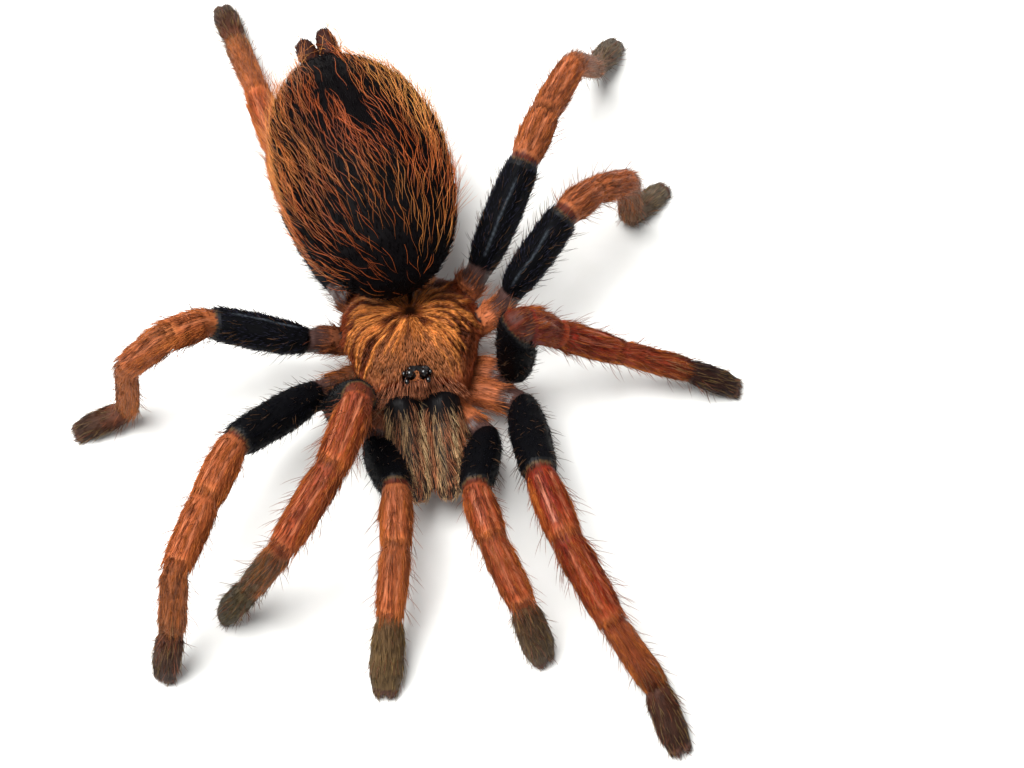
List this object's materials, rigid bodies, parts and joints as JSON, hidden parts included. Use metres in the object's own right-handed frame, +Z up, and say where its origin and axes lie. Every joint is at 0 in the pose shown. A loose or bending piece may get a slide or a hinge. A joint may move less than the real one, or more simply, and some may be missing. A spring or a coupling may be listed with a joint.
{
  "type": "tarantula",
  "caption": "Life-size standing tarantula with a black, copper-haired abdomen, copper carapace, black femora and rust-orange legs; a still model.",
  "frame": {"origin": "middle of the whole animal's box, at ground level, between its feet", "axes": "+Z up, +Y towards the abdomen's end, so the head points along -Y; +X is the animal's left side"},
  "size_m": [0.066, 0.0902, 0.0201],
  "materials": {
    "carapace": "flat copper hair in streaks over dark cuticle",
    "abdomen": "velvet-black coat with long rust-orange hairs",
    "fang": "glossy black horn-like cuticle",
    "chelicera": "olive-brown bristles over black cuticle",
    "hip": "pinkish-orange hair over mauve-brown cuticle",
    "femur": "blue-black velvet",
    "shin": "rust-orange flat hair",
    "foot": "olive-brown hair and pads",
    "spinneret": "dark red-brown soft cuticle",
    "eye": "glossy black lens"
  },
  "bodies": {
    "root": {"carapace": "carapace", "abdomen": "abdomen", "sternum": "hip", "pedicel": "hip", "chelicera_left": "chelicera", "fang_left": "fang", "spinneret_left": "spinneret", "eye_front_middle_left": "eye", "eye_front_side_left": "eye", "eye_rear_side_left": "eye", "eye_rear_middle_left": "eye", "palp_left_hip": "hip", "palp_left_femur": "femur", "palp_left_shin": "shin", "palp_left_foot": "foot", "leg_1_left_hip": "hip", "leg_1_left_femur": "femur", "leg_1_left_shin": "shin", "leg_1_left_foot": "foot", "leg_2_left_hip": "hip", "leg_2_left_femur": "femur", "leg_2_left_shin": "shin", "leg_2_left_foot": "foot", "leg_3_left_hip": "hip", "leg_3_left_femur": "femur", "leg_3_left_shin": "shin", "leg_3_left_foot": "foot", "leg_4_left_hip": "hip", "leg_4_left_femur": "femur", "leg_4_left_shin": "shin", "leg_4_left_foot": "foot", "chelicera_right": "chelicera", "fang_right": "fang", "spinneret_right": "spinneret", "eye_front_middle_right": "eye", "eye_front_side_right": "eye", "eye_rear_side_right": "eye", "eye_rear_middle_right": "eye", "palp_right_hip": "hip", "palp_right_femur": "femur", "palp_right_shin": "shin", "palp_right_foot": "foot", "leg_1_right_hip": "hip", "leg_1_right_femur": "femur", "leg_1_right_shin": "shin", "leg_1_right_foot": "foot", "leg_2_right_hip": "hip", "leg_2_right_femur": "femur", "leg_2_right_shin": "shin", "leg_2_right_foot": "foot", "leg_3_right_hip": "hip", "leg_3_right_femur": "femur", "leg_3_right_shin": "shin", "leg_3_right_foot": "foot", "leg_4_right_hip": "hip", "leg_4_right_femur": "femur", "leg_4_right_shin": "shin", "leg_4_right_foot": "foot"}
  },
  "joints": []
}
